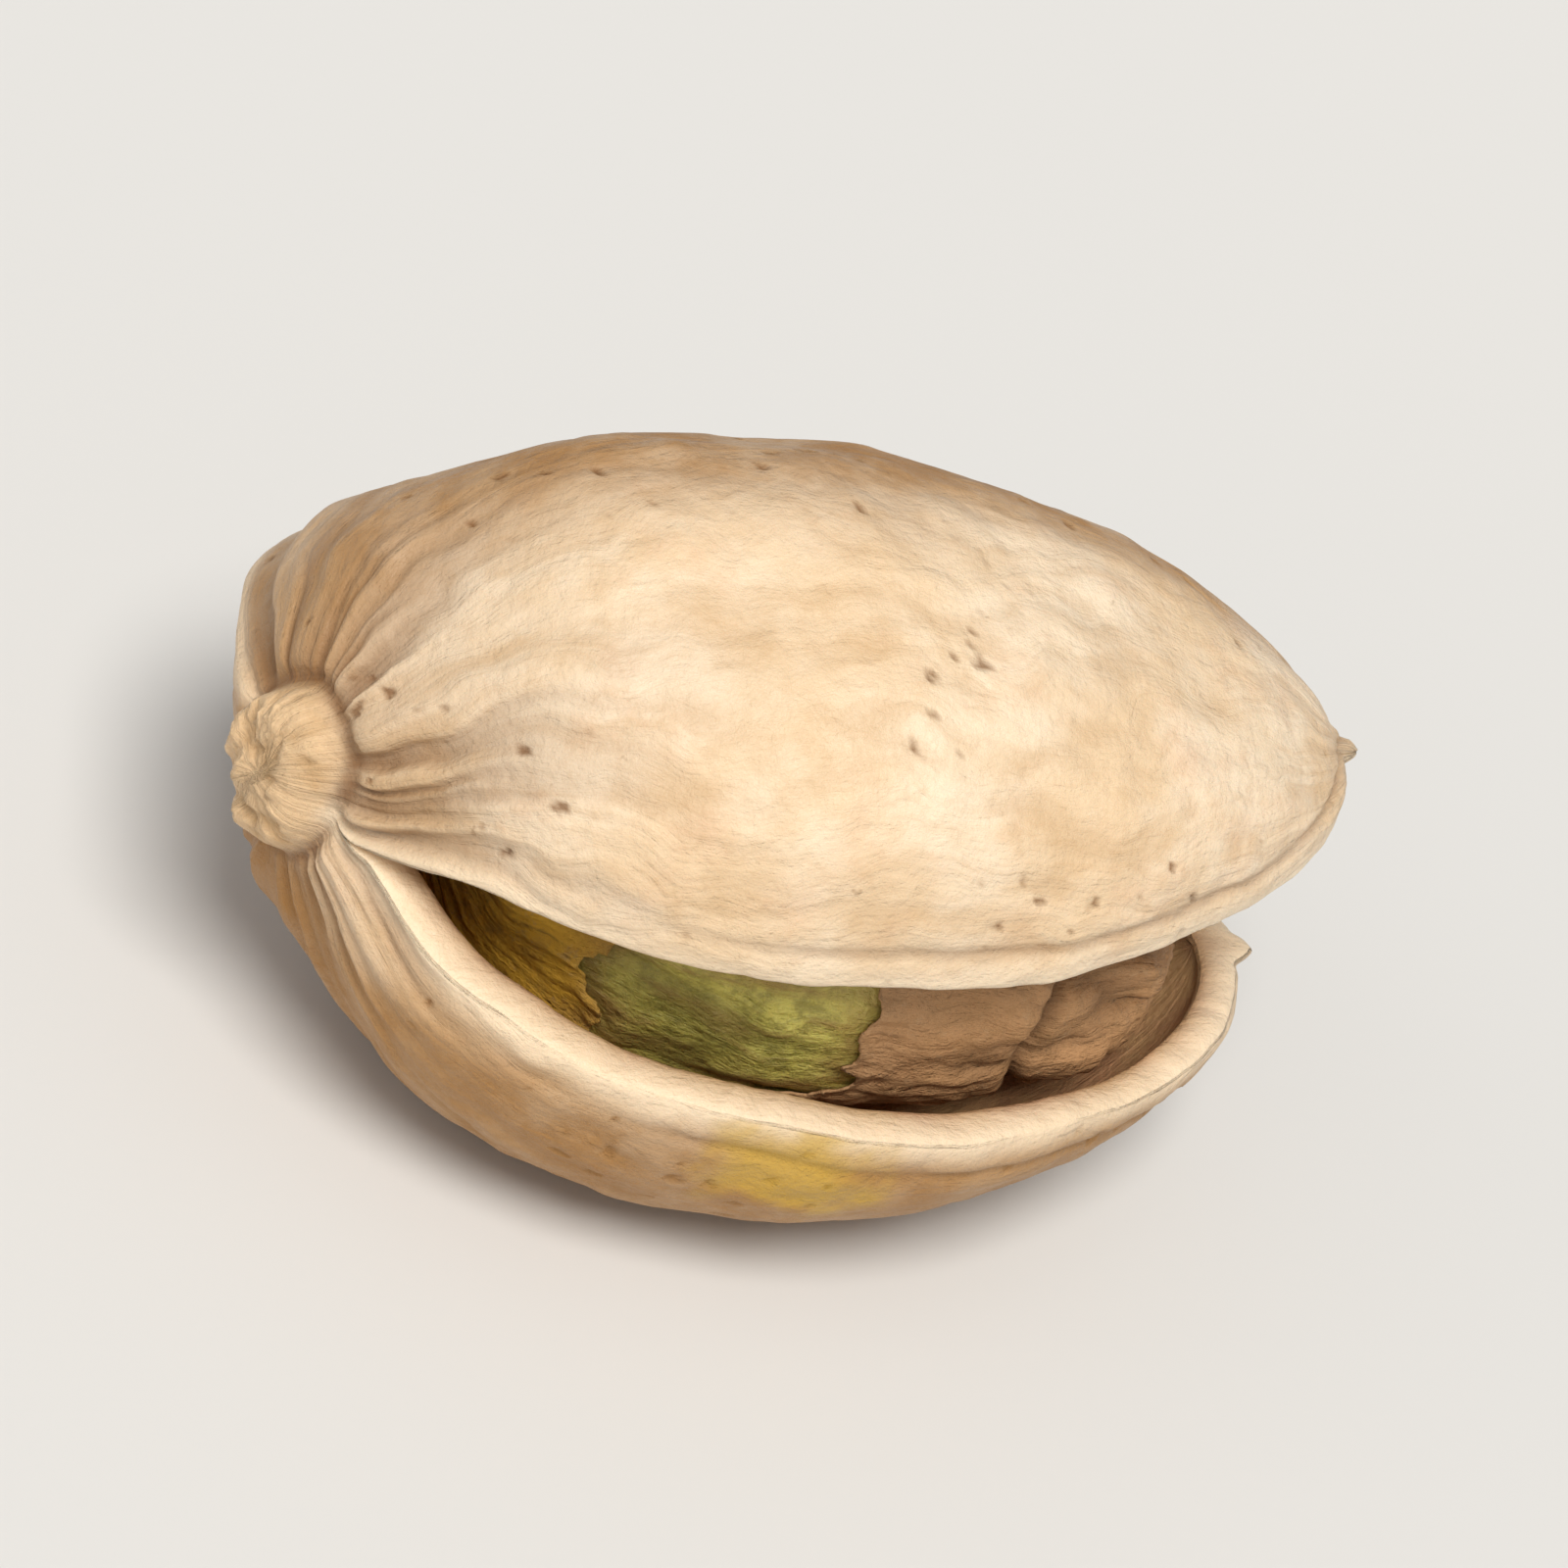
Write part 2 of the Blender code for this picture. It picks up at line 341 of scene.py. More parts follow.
def weathered_relief(settings, spot, grain, stemward, fade):
    """The height of the ribs, wrinkles, swells and pits, with the marks that tint them."""
    cords = along_grain(grain, around=0.55, lengthwise=0.1, detail=2, shift=3.1)
    creases = along_grain(grain, around=0.5, lengthwise=0.12, detail=2, shift=8.4)
    creases = np.clip(1.3 * narrow_lines(creases, 3.6), 0, 1)
    wrinkle = along_grain(grain, around=1.25, lengthwise=0.4, detail=3, shift=17.0)
    fine = along_grain(grain, around=2.8, lengthwise=0.5, detail=2, shift=1.7)
    swell = clouds(spot, scale=0.17, detail=2, shift=5.0)
    dents = clouds(spot, scale=0.55, detail=2, shift=27.0)
    speck = clouds(spot, scale=2.9, detail=1, shift=21.0)
    speck = speck + 0.5 * clouds(spot, scale=0.25, detail=1, shift=2.0)
    groove = creases * fade * (0.05 + 0.95 * stemward)
    pit = smooth(0.68, 0.84, speck) * fade

    height = settings.rib_depth * fade * (cords * (0.06 + 0.94 * stemward) - groove)
    height += settings.wrinkle_height * (wrinkle + 0.45 * fine) * fade
    height += settings.unevenness * (swell + 0.35 * dents)
    height -= settings.pit_depth * pit
    hill = np.clip(0.5 + 0.5 * wrinkle + 0.4 * dents, 0, 1)
    return {"height": height, "groove": groove, "swell": swell, "dents": dents,
            "pit": pit, "hill": hill}


def seam_relief(settings, along, from_back, from_belly, dents, fade):
    """The keel along the back seam, and the band along the belly lip with the line beside it."""
    keel = settings.keel_height * smooth(0.1, 0.4, along) * smooth(1.0, 0.96, along)
    keel = keel * (0.9 + 0.3 * dents)
    height = (keel + 0.08 * MM) * bell(from_back, *KEEL) * fade
    height -= 0.1 * MM * bell(from_back, *KEEL_HOLLOW) * fade
    band = (1 - smooth(*LIP_BAND, from_belly)) * fade
    line = bell(from_belly, *LIP_LINE) * fade * smooth(0.15, 0.4, along)
    height += 0.05 * MM * band - 0.07 * MM * line
    return height, line


def outer_valve(settings, valve):
    """The outside of one valve, closed, with its ribs, lips, keel, pits, scar and beak."""
    along, turn = nut_grid(settings.rings, settings.steps, 0, np.pi)
    plain = swell_shoulder(egg_surface(SHELL_OUTSIDE, along, turn), along, turn)
    spot = plain * np.array([1, 1, valve])
    sway = 0.11 * clouds(spot, scale=0.3, detail=2, shift=40.0)
    sway += 0.04 * clouds(spot, scale=0.9, detail=2, shift=44.0)
    grain = grain_coordinates(plain, turn * valve + sway)
    from_back = np.linalg.norm(plain - plain[:, [BACK_SEAM]], axis=-1)
    from_belly = np.linalg.norm(plain - plain[:, [BELLY_SEAM]], axis=-1)
    from_stem = np.linalg.norm(plain - plain[0, 0], axis=-1) / MM
    stemward = bell(from_stem, 0, STEM_REACH)
    radius = scar_radius(spot)
    fade = smooth(1.0, 1.5, radius)

    relief = weathered_relief(settings, spot, grain, stemward, fade)
    seams, line = seam_relief(settings, along, from_back, from_belly, relief["dents"], fade)
    height = relief["height"] + seams - 0.2 * MM * bell(radius, *SCAR_FURROW)
    points = plain + surface_normals(plain) * height[..., None]

    lumps = clouds(spot, scale=1.5, detail=4, shift=13.0)
    knob = SCAR_HEIGHT * np.maximum(0, 1 - radius**2) ** 0.4
    points[..., 0] -= knob + 0.24 * MM * lumps * (1 - smooth(0.8, 1.05, radius))
    from_tip = np.hypot(plain[..., 1] + BEAK_DROP, plain[..., 2])
    points[..., 0] += settings.beak_length * np.where(along > 0.9, bell(from_tip, 0, BEAK_WIDTH), 0)

    rise = valve_rise(settings, valve, along, turn)
    values = {
        # dark rib grooves and lip line, plus painted shadow in the furrow round the scar
        "groove": np.clip(relief["groove"] + 0.5 * line + 0.8 * bell(radius, *SCAR_SHADOW), 0, 1),
        "hill": relief["hill"],
        "rim": np.maximum(bell(from_belly, *LIP_TINT), 0.8 * bell(from_back, *KEEL_TINT)),
        "scar": 1 - smooth(0.95, 1.1, radius),
        "hollow": np.clip(0.35 - 1.6 * lumps, 0, 1) * (radius < 1),
        "pit": relief["pit"],
        "stain": yellow_stain(spot, from_belly, valve),
        "stemward": stemward * (0.6 + 0.4 * smooth(-0.6, 0.6, np.cos(turn))),
        # the back's darkening: partly its own tan near the keel, partly painted shade
        "own_tan_and_shade_on_back": back_own_tan_and_shade(along, turn, relief["swell"]) * (1 - 0.6 * stemward),
        # painted shade: how far the lower valve's outside darkens below the seam plane
        "inside": 0 * along,
        "lower": smooth(*UNDERSIDE_SHADE, -valve * (plain[..., 2] + rise)),
        "grain": grain,
    }
    return points, rise, values


def inner_valve(settings, valve):
    """The smooth inside of one valve, on coarser steps but the same rings."""
    along, turn = nut_grid(settings.rings, settings.inner_steps, 0, np.pi)
    points = egg_surface(SHELL_INSIDE, along, turn)
    rise = valve_rise(settings, valve, along, turn)
    return points, rise, {"inside": 1 + 0 * along, "grain": grain_coordinates(points, turn * valve)}


def fused_seams(settings):
    """For each seam, which rings of it lie where the two valves are grown together."""
    along, turn = nut_grid(settings.rings, settings.steps, 0, np.pi)
    joined = past_join(egg_surface(SHELL_OUTSIDE, along, turn)) <= 0
    return {seam: joined[:, seam] for seam in (BACK_SEAM, BELLY_SEAM)}


def join_seams(numbers, fused, valve_numbers):
    """Makes the lower valve's numbers those of the upper valve where the two are grown together."""
    for seam, joined in fused.items():
        numbers[joined, seam] = valve_numbers[joined, seam]


def lip_path(numbers, fused):
    """The numbers along a valve's open edge: belly seam, beak, back seam, with a fused end each."""
    belly = numbers[fused[BELLY_SEAM].nonzero()[0][-1]:, BELLY_SEAM]
    back = numbers[fused[BACK_SEAM].nonzero()[0][-1]:, BACK_SEAM]
    return np.concatenate([belly, back[-2::-1]])


def shell_lips(work, settings, points, outer, inner, shared):
    """Rounded lips between the outside and the inside of one valve, along its open edge."""
    rows = settings.lip_rows
    swing = np.pi * np.arange(1, rows) / rows
    share = (1 - np.cos(swing)) / 2
    start, end = points[outer], points[inner]
    valve = 1 if start[:, 2].sum() > 0 else -1
    room = np.minimum(settings.lip_round, 0.7 * np.abs(start[:, 2]))
    wobble = 1 + 0.35 * clouds(start, scale=1.3, detail=3, shift=4.0)
    middle = start[:, None] + (end - start)[:, None] * share[None, :, None]
    middle[..., 2] -= valve * (room * wobble)[:, None] * np.sin(swing)[None]
    grain = np.stack([middle[..., 1], middle[..., 2] * 0, middle[..., 0]], -1) / MM
    numbers = work.add(middle, rim=1.0, inside=share[None] ** 2, grain=grain)
    if shared is not None:
        numbers[[0, -1]] = shared[[0, -1]]
    work.cover(np.concatenate([outer[:, None], numbers, inner[:, None]], 1))
    return numbers


def build_shell(settings):
    """Both valves, fused at the stem end, as one closed mesh."""
    work = Patchwork()
    fused = fused_seams(settings)
    outer, inner = {}, {}
    for valve in (1, -1):
        points, rise, values = outer_valve(settings, valve)
        for seam, joined in fused.items():
            points[joined, seam, 2] = 0
        points[..., 2] = valve * (points[..., 2] + rise)
        points[..., 2] = np.maximum(points[..., 2], -SEAT[2])
        outer[valve] = work.add(points, **values)
        points, rise, values = inner_valve(settings, valve)
        points[..., 2] = valve * (points[..., 2] + rise)
        inner[valve] = work.add(points, **values)
        close_poles(outer[valve])
        close_poles(inner[valve])
    # The valves share the point at the stem end and the seams where they are grown together.
    for side in (outer, inner):
        side[-1][0] = side[1][0]
        join_seams(side[-1], fused, side[1])
    placed = np.concatenate(work.points)
    shared = None
    for valve in (1, -1):
        work.cover(outer[valve])
        work.cover(inner[valve])
        path = [lip_path(side[valve], fused) for side in (outer, inner)]
        shared = shell_lips(work, settings, placed, *path, shared)
    return work.object("split_shell")


# ---------------------------------------------------------------- seed and coat


Seed = namedtuple("Seed", "along turn points normals grain folds")


def seed_surface(rings, steps, settings):
    """A grid over the wrinkled seed."""
    along, turn = nut_grid(rings, steps, -np.pi, np.pi)
    points = egg_surface(KERNEL, along, turn)
    sway = 0.12 * clouds(points, scale=0.4, detail=2, shift=60.0)
    grain = grain_coordinates(points, turn + sway)
    normals = surface_normals(points)
    u, w = points[..., 0] / MM, points[..., 2] / MM
    front = smooth(0.5, 0.7, np.abs(turn) / np.pi)
    beakward = smooth(0.68, 0.85, along)

    folds = along_grain(grain, around=0.35, lengthwise=0.14, detail=2, shift=6.0)
    folds = narrow_lines(folds, 3.5) * (0.15 + 0.85 * smooth(*CALM_TIP, along))
    bend = np.hypot(u - CREVICE_U, w - CREVICE_W)
    crevice = bell(bend, CREVICE_RADIUS, CREVICE_WIDTH) * smooth(0.6, -0.4, u - CREVICE_U) * front
    height = -settings.fold_depth * (0.45 + 0.55 * beakward) * folds - 0.3 * MM * crevice
    lumps = clouds(points, scale=0.6, detail=4, shift=9.0)
    height += (0.1 + 0.2 * beakward) * MM * lumps
    height += 0.35 * MM * smooth(0.55, 0.8, along) * smooth(1.0, 0.9, along) * front
    points = points + normals * height[..., None]
    points[..., 2] -= KERNEL_SETTLE * lift(past_join(points))
    return Seed(along, turn, points, normals, grain, np.maximum(0.7 * folds, crevice))


def coat_cover(seed):
    """Above 0 where the coat still covers the seed, below 0 in its tears."""
    u, w = seed.points[..., 0] / MM, seed.points[..., 2] / MM
    ragged = clouds(seed.points, scale=0.55, detail=4, shift=31.0)
    ragged += 0.8 * along_grain(seed.grain, around=1.0, lengthwise=0.45, detail=4, shift=33.0)
    away = np.hypot((u - TEAR_U) / TEAR_HALF_LENGTH, (w - TEAR_W) / TEAR_HALF_HEIGHT)
    torn = away - 1 + 0.3 * ragged
    in_front = np.abs(seed.turn) > 0.56 * np.pi
    return np.where(in_front, torn, np.maximum(torn, 0.9 + ragged))


def close_round(numbers):
    """Joins a grid that goes all the way round: its last column to its first, and its poles."""
    numbers[:, -1] = numbers[:, 0]
    close_poles(numbers)


def build_kernel(settings):
    """The seed, closed, greener where its coat has torn away."""
    seed = seed_surface(settings.rings, settings.steps, settings)
    scraps = np.exp(-np.abs(coat_cover(seed)) / 0.2)
    work = Patchwork()
    numbers = work.add(seed.points, grain=seed.grain, fold=seed.folds, edge=scraps)
    close_round(numbers)
    work.cover(numbers)
    return work.object("green_kernel")


def build_coat(settings):
    """The papery seed coat: a wrinkled sheet over the seed, open at its tears."""
    seed = seed_surface(settings.coat_rings, settings.coat_steps, settings)
    cover = coat_cover(seed)
    edge = np.exp(-np.maximum(cover, 0) / 0.16)
    wrinkle = np.abs(along_grain(seed.grain, around=1.2, lengthwise=0.45, detail=3, shift=14.0))
    wrinkle = wrinkle * (0.3 + 0.7 * smooth(*CALM_TIP, seed.along))
    height = settings.coat_gap + 0.14 * MM * wrinkle + settings.curl * edge * (0.4 + wrinkle)
    points = seed.points + seed.normals * height[..., None]
    work = Patchwork()
    numbers = work.add(points, grain=seed.grain, edge=edge, fold=seed.folds, along=seed.along)
    close_round(numbers)
    work.cover(numbers)
    covered = dict(zip(numbers.ravel().tolist(), cover.ravel().tolist()))
    work.faces = [face for face in work.faces if min(covered[corner] for corner in face) > 0]
    coat = work.object("torn_coat")
    tidy_sheet(coat)
    thickness = coat.modifiers.new("thickness", "SOLIDIFY")
    thickness.thickness = settings.coat_thickness
    thickness.offset = 1
    return coat


def tidy_sheet(coat):
    """Keeps the coat's largest sheet and evens out its torn edges."""
    bm = bmesh.new()
    bm.from_mesh(coat.data)
    seen, best = set(), []
    for start in bm.verts:
        if start.index in seen:
            continue
        island, queue = [], [start]
        seen.add(start.index)
        while queue:
            vertex = queue.pop()
            island.append(vertex)
            for edge in vertex.link_edges:
                other = edge.other_vert(vertex)
                if other.index not in seen:
                    seen.add(other.index)
                    queue.append(other)
        if len(island) > len(best):
            best = island
    keep = set(best)
    bmesh.ops.delete(bm, geom=[v for v in bm.verts if v not in keep], context="VERTS")
    for _ in range(EDGE_ROUNDS):
        border = [v for v in bm.verts if v.is_boundary]
        bmesh.ops.smooth_vert(bm, verts=border, factor=0.5, use_axis_x=True, use_axis_y=True,
                              use_axis_z=True)
    bm.to_mesh(coat.data)
    bm.free()


# ---------------------------------------------------------------- materials


class Graph:
    """Short calls for putting together one material's nodes."""

    def __init__(self, name):
        self.material = bpy.data.materials.new(name)
        self.material.use_nodes = True
        self.tree = self.material.node_tree
        self.shader = self.tree.nodes["Principled BSDF"]

    def set(self, socket, value):
        """Links a socket to another one, or gives it a fixed value."""
        if isinstance(value, bpy.types.NodeSocket):
            self.tree.links.new(value, socket)
        elif socket.type == "RGBA":
            socket.default_value = (*value, 1)
        else:
            socket.default_value = value

    def node(self, kind, **settings):
        """A new node of this kind, with its settings."""
        made = self.tree.nodes.new(kind)
        for key, value in settings.items():
            setattr(made, key, value)
        return made

    def value(self, name):
        """A value that the mesh carries at each point."""
        return self.node("ShaderNodeAttribute", attribute_name=name).outputs["Fac"]

    def grain(self, around, lengthwise):
        """The grain's coordinates, scaled round the nut and along it."""
        source = self.node("ShaderNodeAttribute", attribute_name="grain").outputs["Vector"]
        scaled = self.node("ShaderNodeVectorMath", operation="MULTIPLY")
        self.set(scaled.inputs[0], source)
        scaled.inputs[1].default_value = (around, around, lengthwise)
        return scaled.outputs[0]

    def place(self):
        """Where a point is, in millimetres."""
        source = self.node("ShaderNodeTexCoord").outputs["Object"]
        scaled = self.node("ShaderNodeVectorMath", operation="SCALE")
        self.set(scaled.inputs[0], source)
        scaled.inputs["Scale"].default_value = 1 / MM
        return scaled.outputs[0]

    def noise(self, vector, scale, detail, roughness, shift):
        """Cloudy noise; the shift sets one cloud apart from another."""
        made = self.node("ShaderNodeTexNoise", noise_dimensions="4D")
        self.set(made.inputs["Vector"], vector)
        made.inputs["W"].default_value = shift
        made.inputs["Scale"].default_value = scale
        made.inputs["Detail"].default_value = detail
        made.inputs["Roughness"].default_value = roughness
        return made.outputs["Fac"]

    def between(self, value, low, high):
        """0 below low, 1 above high, and a smooth rise between them."""
        made = self.node("ShaderNodeMapRange", interpolation_type="SMOOTHSTEP")
        self.set(made.inputs["Value"], value)
        made.inputs["From Min"].default_value = low
        made.inputs["From Max"].default_value = high
        return made.outputs["Result"]

    def math(self, operation, first, second):
        """The result of one operation on two values."""
        made = self.node("ShaderNodeMath", operation=operation)
        self.set(made.inputs[0], first)
        self.set(made.inputs[1], second)
        return made.outputs[0]

    def weigh(self, value, weight):
        """A value times its weight."""
        return self.math("MULTIPLY", value, weight)

    def warp(self, vector, amount, scale):
        """The same coordinates, pushed about by noise."""
        source = self.node("ShaderNodeTexNoise")
        self.set(source.inputs["Vector"], vector)
        source.inputs["Scale"].default_value = scale
        moved = self.node("ShaderNodeVectorMath", operation="MULTIPLY_ADD")
        self.set(moved.inputs[0], source.outputs["Color"])
        moved.inputs[1].default_value = (amount, amount, amount)
        self.set(moved.inputs[2], vector)
        return moved.outputs[0]

    def mix(self, share, first, second):
        """From the first colour where share is 0 to the second where it is 1."""
        made = self.node("ShaderNodeMix", data_type="RGBA")
        first_socket, second_socket = [socket for socket in made.inputs if socket.type == "RGBA"]
        self.set(made.inputs["Factor"], share)
        self.set(first_socket, first)
        self.set(second_socket, second)
        return next(socket for socket in made.outputs if socket.type == "RGBA")

    def lay(self, colour, cover, strength, top):
        """A colour with another laid over it, this strongly where the cover is 1."""
        return self.mix(self.weigh(cover, strength), colour, top)

    def bump(self, height, distance, below=None):
        """A bumpy normal, on top of the one below if there is one."""
        made = self.node("ShaderNodeBump")
        made.inputs["Strength"].default_value = 1
        made.inputs["Distance"].default_value = distance
        self.set(made.inputs["Height"], height)
        if below is not None:
            self.set(made.inputs["Normal"], below)
        return made.outputs["Normal"]

    def finish(self, colour, roughness, normal, **fixed):
        """Wires up the shader, with fixed values by socket name, and hands over the material."""
        self.set(self.shader.inputs["Base Color"], colour)
        self.set(self.shader.inputs["Roughness"], roughness)
        self.set(self.shader.inputs["Normal"], normal)
        for name, value in fixed.items():
            self.shader.inputs[name.replace("_", " ")].default_value = value
        return self.material


def shell_material(colours):
    """Dry pistachio shell: cream and mottled, tan in its grooves, pale on its lips, with painted
    shade on its back (partly its own tan), on the lower valve's outside and round the scar.
    """
    g = Graph("dry_pistachio_shell")
    place = g.place()
    long_grain = g.warp(g.grain(around=1.3, lengthwise=0.22), amount=0.5, scale=0.5)
    fine_grain = g.warp(g.grain(around=4.2, lengthwise=0.55), amount=0.6, scale=0.8)
    broad = g.noise(place, scale=0.3, detail=3, roughness=0.55, shift=1.0)
    patch = g.noise(place, scale=0.62, detail=5, roughness=0.65, shift=7.0)
    mottle = g.noise(place, scale=1.9, detail=5, roughness=0.7, shift=6.0)
    streak = g.noise(long_grain, scale=1.0, detail=5, roughness=0.65, shift=3.0)
    thread = g.noise(fine_grain, scale=1.0, detail=4, roughness=0.65, shift=5.0)
    speck = g.noise(place, scale=2.6, detail=2, roughness=0.5, shift=11.0)
    ripple = g.noise(place, scale=1.3, detail=5, roughness=0.65, shift=4.0)
    tooth = g.noise(place, scale=3.2, detail=4, roughness=0.7, shift=2.0)
    # patches where the back's darkening and the painted shade on the lower valve are weaker
    lighter_patches = g.between(patch, 0.6, 0.34)
    # how strongly the back darkens: partly its own tan, partly painted shade
    back_darkening_strength = g.math("SUBTRACT", 0.98, g.weigh(lighter_patches, 0.32))
    # how strongly painted shade darkens the lower valve's outside
    underside_shade_strength = g.math("SUBTRACT", 0.98, g.weigh(lighter_patches, 0.2))

    colour = g.mix(g.between(broad, 0.38, 0.62), colours.cream, colours.pale)
    colour = g.lay(colour, g.between(patch, 0.5, 0.72), 0.4, colours.blush)
    colour = g.lay(colour, g.between(streak, 0.48, 0.75), 0.36, colours.tan)
    colour = g.lay(colour, g.between(mottle, 0.45, 0.72), 0.24, colours.tan)
    colour = g.lay(colour, g.between(thread, 0.5, 0.75), 0.16, colours.tan)
    colour = g.lay(colour, g.between(g.value("hill"), 0.5, 0.2), 0.26, colours.tan)
    # the back darkens to toast: partly its own tan near the keel, partly painted shade
    colour = g.lay(colour, g.value("own_tan_and_shade_on_back"), back_darkening_strength, colours.stem_brown_and_shade)
    colour = g.lay(colour, g.value("stemward"), 0.8, colours.stem_brown_and_shade)
    # bark in the grooves, with painted shadow in the furrow round the scar
    colour = g.lay(colour, g.value("groove"), 0.85, colours.bark)
    colour = g.lay(colour, g.between(speck, 0.74, 0.8), 0.4, colours.bark)
    colour = g.lay(colour, g.value("pit"), 0.8, colours.bark)
    # painted shade darkens the lower valve's outside to toast, less in lighter patches
    colour = g.lay(colour, g.value("lower"), underside_shade_strength, colours.stem_brown_and_shade)
    colour = g.lay(colour, g.value("rim"), 0.7, colours.lip)
    colour = g.lay(colour, g.value("stain"), 0.75, colours.stain)
    cork = g.lay(colours.cork, g.value("hollow"), 0.75, colours.tan)
    colour = g.mix(g.value("scar"), colour, cork)
    lining = g.mix(g.between(patch, 0.35, 0.65), colours.lining, colours.tan)
    colour = g.mix(g.value("inside"), colour, lining)

    roughness = g.math("ADD", g.weigh(mottle, 0.35), 0.28)
    normal = g.bump(ripple, 0.12 * MM)
    normal = g.bump(streak, 0.1 * MM, normal)
    normal = g.bump(thread, 0.03 * MM, normal)
    normal = g.bump(tooth, 0.06 * MM, normal)
    return g.finish(colour, roughness, normal, Specular_IOR_Level=0.25, Subsurface_Weight=0.06,
                    Subsurface_Radius=(1.0, 0.6, 0.35), Subsurface_Scale=0.6 * MM)


def kernel_material(colours):
    """Green seed flesh, yellower where it is worn and darker in its folds."""
    g = Graph("pistachio_seed_flesh")
    place = g.place()
    grain = g.warp(g.grain(around=1.4, lengthwise=0.4), amount=0.6, scale=0.7)
    patch = g.noise(place, scale=0.5, detail=5, roughness=0.65, shift=3.0)
    mottle = g.noise(place, scale=2.2, detail=5, roughness=0.7, shift=12.0)
    vein = g.noise(grain, scale=1.0, detail=5, roughness=0.65, shift=9.0)
    ripple = g.noise(place, scale=1.6, detail=5, roughness=0.65, shift=1.0)

    colour = g.mix(g.between(patch, 0.38, 0.6), colours.green, colours.yellow_green)
    colour = g.lay(colour, g.between(mottle, 0.42, 0.66), 0.6, colours.olive)
    colour = g.lay(colour, g.between(vein, 0.47, 0.66), 0.75, colours.umber)
    colour = g.lay(colour, g.value("fold"), 0.7, colours.olive)
    colour = g.lay(colour, g.value("edge"), 0.75, colours.umber)

    roughness = g.math("ADD", g.weigh(mottle, 0.3), 0.3)
    normal = g.bump(vein, 0.2 * MM, g.bump(ripple, 0.25 * MM))
    return g.finish(colour, roughness, normal, Specular_IOR_Level=0.5, Subsurface_Weight=0.12,
                    Subsurface_Radius=(0.6, 1.0, 0.3), Subsurface_Scale=0.8 * MM)


def coat_material(colours):
    """Papery seed coat: ochre by the stem, mauve-brown towards the beak, darker in its folds."""
    g = Graph("papery_seed_coat")
    place = g.place()
    grain = g.warp(g.grain(around=1.8, lengthwise=0.5), amount=0.7, scale=0.7)
    patch = g.noise(place, scale=0.7, detail=5, roughness=0.65, shift=5.0)
    mottle = g.noise(place, scale=2.4, detail=5, roughness=0.7, shift=3.0)
    vein = g.noise(grain, scale=1.0, detail=5, roughness=0.65, shift=2.0)
    ripple = g.noise(place, scale=2.0, detail=5, roughness=0.65, shift=8.0)
    reach = g.math("ADD", g.value("along"), g.weigh(patch, 0.25))

    colour = g.mix(g.between(reach, 0.08, 0.16), colours.bark, colours.ochre)
    colour = g.mix(g.between(reach, 0.36, 0.46), colour, colours.mauve)
    colour = g.lay(colour, g.between(patch, 0.48, 0.68), 0.5, colours.bark)
    colour = g.lay(colour, g.between(vein, 0.52, 0.72), 0.5, colours.brown)
    colour = g.lay(colour, g.between(mottle, 0.55, 0.72), 0.5, colours.pale)
    colour = g.lay(colour, g.value("fold"), 0.8, colours.brown)
    colour = g.lay(colour, g.value("edge"), 0.35, colours.pale)

    roughness = g.math("ADD", g.weigh(mottle, 0.3), 0.5)
    normal = g.bump(vein, 0.2 * MM, g.bump(ripple, 0.2 * MM))
    return g.finish(colour, roughness, normal, Specular_IOR_Level=0.25)


def floor_material(colour):
    """A plain pale matt floor with the slightest unevenness."""
    g = Graph("plain_pale_floor")
    place = g.place()
    cloud = g.noise(place, scale=0.02, detail=2, roughness=0.5, shift=0.0)
    grit = g.noise(place, scale=2.0, detail=3, roughness=0.5, shift=0.0)
    shade = [part * 0.97 for part in colour]
    return g.finish(g.mix(cloud, colour, shade), 0.85, g.bump(grit, 0.002 * MM))


# ---------------------------------------------------------------- settings


def colour_setting(name, description, default):
    """A colour that the user can change."""
    return FloatVectorProperty(name=name, description=description, subtype="COLOR",
                               size=3, min=0, max=1, default=default)


def length_setting(name, description, default):
    """A length that the user can change."""
    return FloatProperty(name=name, description=description, default=default,
                         subtype="DISTANCE", unit="LENGTH", precision=6)


def count_setting(name, description, default, least):
    """A number of mesh rows that the user can change."""
    return IntProperty(name=name, description=description, default=default, min=least)


def angle_setting(name, description, degrees):
    """An angle that the user can change."""
    return FloatProperty(name=name, description=description, default=math.radians(degrees),
                         subtype="ANGLE")


def strength_setting(name, description, default):
    """A strength or a share that the user can change."""
    return FloatProperty(name=name, description=description, default=default,
                         subtype="FACTOR", min=0, soft_max=4)


